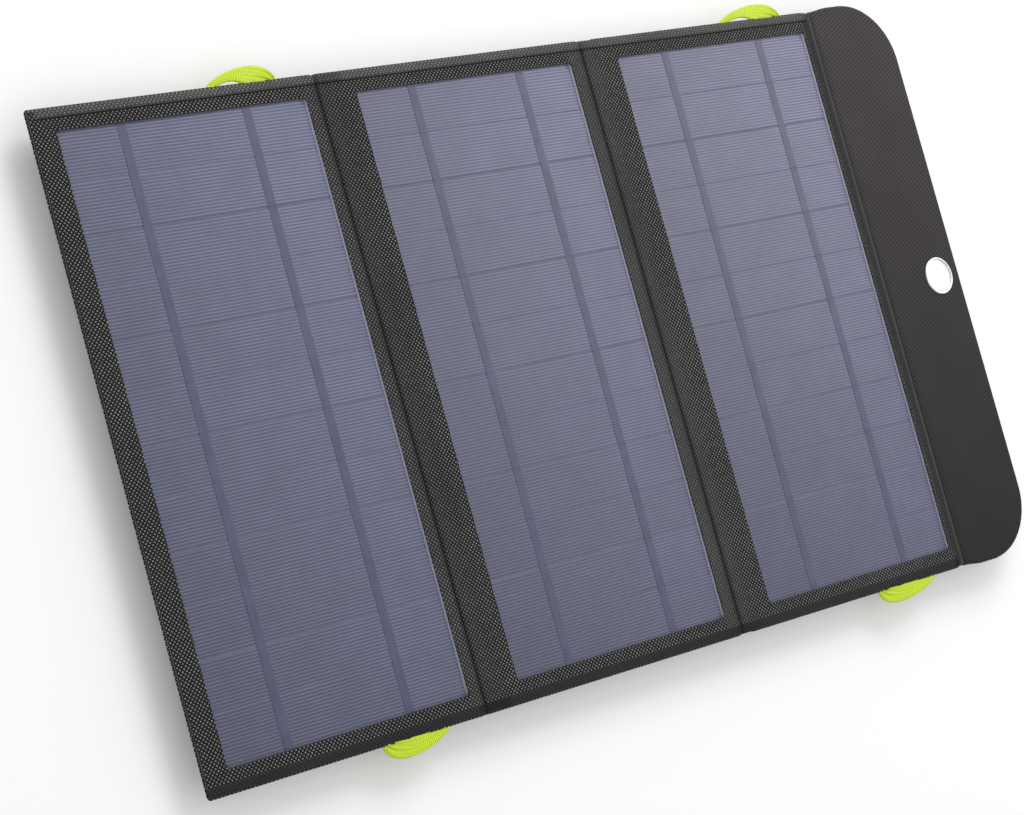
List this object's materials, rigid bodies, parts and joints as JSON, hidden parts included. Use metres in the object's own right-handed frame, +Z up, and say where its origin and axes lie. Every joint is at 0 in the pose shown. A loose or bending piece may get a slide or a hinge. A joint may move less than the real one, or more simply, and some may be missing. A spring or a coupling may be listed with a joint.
{
  "type": "folding solar charger",
  "caption": "Folding solar charger: three cell panels in a woven cover with a wrap-round closure flap, webbing loops and a zip pocket that holds a USB regulator.",
  "frame": {"origin": "centre of the open charger's outline, on the surface it lies on", "axes": "+X across the panels towards the closure flap, +Y along the cell columns, +Z up, away from the surface and out of the cells"},
  "size_m": [0.503, 0.298, 0.0181],
  "materials": {
    "cover_nylon": "woven matt",
    "flap_twill": "woven matt twill",
    "webbing": "woven",
    "board": "matt",
    "glass_fibre": "matt",
    "cells": "satin",
    "tab_ribbon": "satin",
    "clear_film": "satin",
    "lead_insulation": "satin",
    "nickel": "polished",
    "zip_tape": "woven",
    "zip_coil": "satin",
    "zip_metal": "satin",
    "case_plastic": "matt",
    "circuit_board": "satin",
    "components": "satin",
    "socket_steel": "satin",
    "light_pipe": "gloss",
    "rubber": "matt",
    "screw_steel": "satin"
  },
  "bodies": {
    "centre_panel": {"front_cover_centre": "cover_nylon", "back_cover_centre": "cover_nylon", "stiffener_centre": "board", "backsheet_centre": "glass_fibre", "cell_strips_centre": "cells", "tab_ribbons_centre": "tab_ribbon", "front_film_centre": "clear_film", "leads_centre": "lead_insulation", "clasp_plate": "nickel", "clasp_washer": "nickel", "pocket_panel": "cover_nylon", "pocket_gusset": "cover_nylon", "zip_tapes": "zip_tape", "zip_coils": "zip_coil", "zip_stops": "zip_metal", "regulator_base": "case_plastic", "regulator_lid": "case_plastic", "regulator_board": "circuit_board", "regulator_parts": "components", "usb_sockets": "socket_steel", "light_pipe": "light_pipe", "lead_bush": "rubber", "lid_screws": "screw_steel"},
    "left_panel": {"front_cover_left": "cover_nylon", "back_cover_left": "cover_nylon", "stiffener_left": "board", "backsheet_left": "glass_fibre", "cell_strips_left": "cells", "tab_ribbons_left": "tab_ribbon", "front_film_left": "clear_film", "lead_left": "lead_insulation", "loop_top_left": "webbing", "loop_bottom_left": "webbing"},
    "right_spine": {"front_cover_spine": "cover_nylon", "spine_lining": "cover_nylon", "lead_spine": "lead_insulation"},
    "right_panel": {"front_cover_right": "cover_nylon", "back_cover_right": "cover_nylon", "stiffener_right": "board", "backsheet_right": "glass_fibre", "cell_strips_right": "cells", "tab_ribbons_right": "tab_ribbon", "front_film_right": "clear_film", "lead_right": "lead_insulation", "loop_top_right": "webbing", "loop_bottom_right": "webbing", "seam_piping": "flap_twill", "flap_root_face": "flap_twill", "flap_root_back": "flap_twill"},
    "flap_spine": {"flap_spine_face": "flap_twill", "flap_spine_back": "flap_twill"},
    "flap_tip": {"flap_tip_face": "flap_twill", "flap_tip_stiffener": "board", "flap_tip_back": "flap_twill", "clasp_cup": "nickel", "clasp_cap": "nickel"},
    "zip_slider": {"zip_slider": "zip_metal"},
    "zip_puller": {"zip_puller": "zip_metal"}
  },
  "joints": [
    {"name": "left_fold", "type": "hinge", "parent": "centre_panel", "child": "left_panel", "pos_m": [-0.1085, 0, 0.01715], "axis": [0, 1, 0], "range_deg": [0, 180]},
    {"name": "right_fold", "type": "hinge", "parent": "centre_panel", "child": "right_spine", "pos_m": [0.0445, 0, 0.01715], "axis": [0, -1, 0], "range_deg": [0, 90]},
    {"name": "right_fold_panel", "type": "hinge", "parent": "right_spine", "child": "right_panel", "pos_m": [0.052, 0, 0.01715], "axis": [0, -1, 0], "range_deg": [0, 90]},
    {"name": "flap_wrap", "type": "hinge", "parent": "right_panel", "child": "flap_spine", "pos_m": [0.207, 0, 0.01715], "axis": [0, -1, 0], "range_deg": [0, 90]},
    {"name": "flap_wrap_tip", "type": "hinge", "parent": "flap_spine", "child": "flap_tip", "pos_m": [0.2221, 0, 0.01715], "axis": [0, -1, 0], "range_deg": [0, 90]},
    {"name": "zip_slide", "type": "slide", "parent": "centre_panel", "child": "zip_slider", "axis": [0, -1, 0], "range_m": [0, 0.128]},
    {"name": "puller_swing", "type": "hinge", "parent": "zip_slider", "child": "zip_puller", "pos_m": [0.0369, 0.063, 0.0064], "axis": [0, 0, 1], "range_deg": [0, 175]}
  ],
  "couplings": [
    {"joint": "flap_wrap_tip", "follows": "flap_wrap", "ratio": 1}
  ]
}
